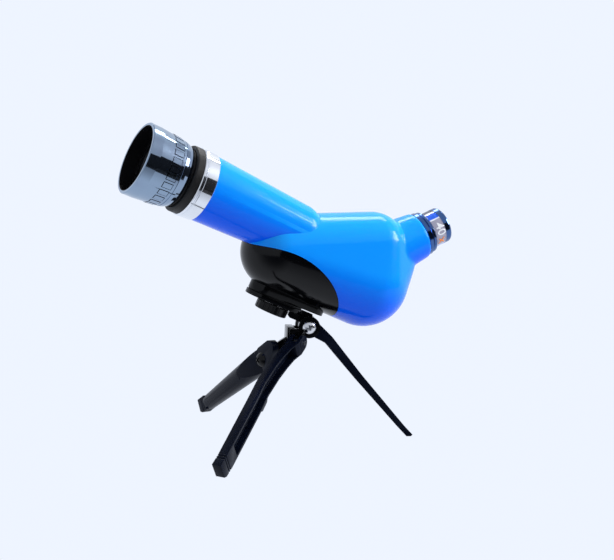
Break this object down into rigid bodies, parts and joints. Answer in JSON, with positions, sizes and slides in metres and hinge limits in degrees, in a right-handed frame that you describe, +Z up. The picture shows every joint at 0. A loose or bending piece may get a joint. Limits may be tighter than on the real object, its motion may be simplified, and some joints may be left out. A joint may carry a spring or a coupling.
{
  "type": "telescope on tripod",
  "caption": "Toy telescope with a bulbous blue body, chrome focusing hood and bent interchangeable eyepiece, on a black folding table tripod.",
  "frame": {"origin": "centre of the bounding box on the table plane, under the telescope", "axes": "+Z up, +X back along the telescope's pointing direction in plan (the hood points to -X and up), +Y to the telescope's right"},
  "size_m": [0.2346, 0.1594, 0.2011],
  "materials": {
    "blue_gloss": "glossy azure blue moulded plastic",
    "black_gloss": "glossy black moulded plastic",
    "leg_gloss": "glossy blue-black moulded plastic",
    "black_satin": "satin black moulded plastic",
    "black_rubber": "matt black rubber",
    "dark_chrome": "dark mirror-bright vacuum plating on plastic",
    "bright_chrome": "bright vacuum plating on plastic",
    "plated_steel": "plated steel screws",
    "brass_nut": "plain brass",
    "grey_label": null,
    "coated_glass": "clear lens",
    "mirror_glass": "front-silvered flat mirror"
  },
  "bodies": {
    "hub": {"tripod_hub": "black_gloss", "tilt_bolt": "plated_steel", "tilt_nut": "plated_steel", "main_leg_pin": "plated_steel", "side_leg_screw": "black_gloss"},
    "main_leg": {"main_leg": "leg_gloss", "main_leg_tip": "black_satin"},
    "side_leg": {"side_leg": "leg_gloss", "side_leg_tip": "black_satin"},
    "rear_leg": {"rear_leg": "leg_gloss", "rear_leg_tip": "black_satin"},
    "head": {"head_plate": "black_gloss", "plate_pad": "black_rubber"},
    "thumbscrew": {"thumb_disc": "black_gloss", "thumb_stud": "plated_steel"},
    "telescope": {"body_shell_left": "blue_gloss", "body_shell_right": "blue_gloss", "belly_shell": "black_gloss", "body_screws": "plated_steel", "neck_ring": "black_rubber", "front_bezel": "bright_chrome", "front_band": "bright_chrome", "focus_sleeve": "black_satin", "light_baffle": "black_satin", "mirror": "mirror_glass", "mirror_bracket": "black_satin", "mount_foot": "black_gloss", "foot_screws": "plated_steel", "tripod_nut": "brass_nut", "eyepiece_socket": "bright_chrome"},
    "draw_tube": {"draw_tube": "black_satin", "objective_lens": "coated_glass", "lens_retainer": "black_satin"},
    "hood": {"objective_hood": "dark_chrome", "grip_pads": "dark_chrome"},
    "eyepiece": {"eyepiece_barrel": "black_satin", "eyepiece_flange": "bright_chrome", "eyepiece_sleeve": "grey_label", "eyepiece_cap": "dark_chrome", "eye_lens": "coated_glass", "field_lens": "coated_glass", "lens_spacer": "black_satin"}
  },
  "joints": [
    {"name": "head_tilt", "type": "hinge", "parent": "hub", "child": "head", "pos_m": [0.01114, -0.00809, 0.0745], "axis": [0.309, 0.9511, 0], "range_deg": [-21.5, 26]},
    {"name": "thumbscrew_turn", "type": "hinge", "parent": "head", "child": "thumbscrew", "pos_m": [-0.00982, -0.00128, 0.09221], "axis": [0.3486, -0.1133, 0.9304], "continuous": true},
    {"name": "telescope_pan", "type": "hinge", "parent": "head", "child": "telescope", "pos_m": [-0.00982, -0.00128, 0.09221], "axis": [0.3486, -0.1133, 0.9304], "continuous": true},
    {"name": "focus_slide", "type": "slide", "parent": "telescope", "child": "draw_tube", "axis": [-0.9366, -0.0031, 0.3505], "range_m": [0, 0.009]},
    {"name": "focus_turn", "type": "hinge", "parent": "draw_tube", "child": "hood", "pos_m": [-0.10944, -0.00703, 0.17977], "axis": [-0.9366, -0.0031, 0.3505], "range_deg": [0, 270]},
    {"name": "eyepiece_pull", "type": "slide", "parent": "telescope", "child": "eyepiece", "axis": [0.9087, -0.0779, 0.4101], "range_m": [0, 0.025]},
    {"name": "main_leg_fold", "type": "hinge", "parent": "hub", "child": "main_leg", "pos_m": [-0.00026, -0.01681, 0.06539], "axis": [0.6074, -0.7944, 0], "range_deg": [0, 50]},
    {"name": "side_leg_fold", "type": "hinge", "parent": "hub", "child": "side_leg", "pos_m": [-0.015, 0.0024, 0.051], "axis": [-0.9888, -0.1495, 0], "range_deg": [0, 50]},
    {"name": "rear_leg_fold", "type": "hinge", "parent": "hub", "child": "rear_leg", "pos_m": [0.01114, -0.00809, 0.0745], "axis": [0.309, 0.9511, 0], "range_deg": [0, 38]}
  ],
  "couplings": [
    {"joint": "focus_slide", "follows": "focus_turn", "m_per_rad": 0.0019}
  ]
}
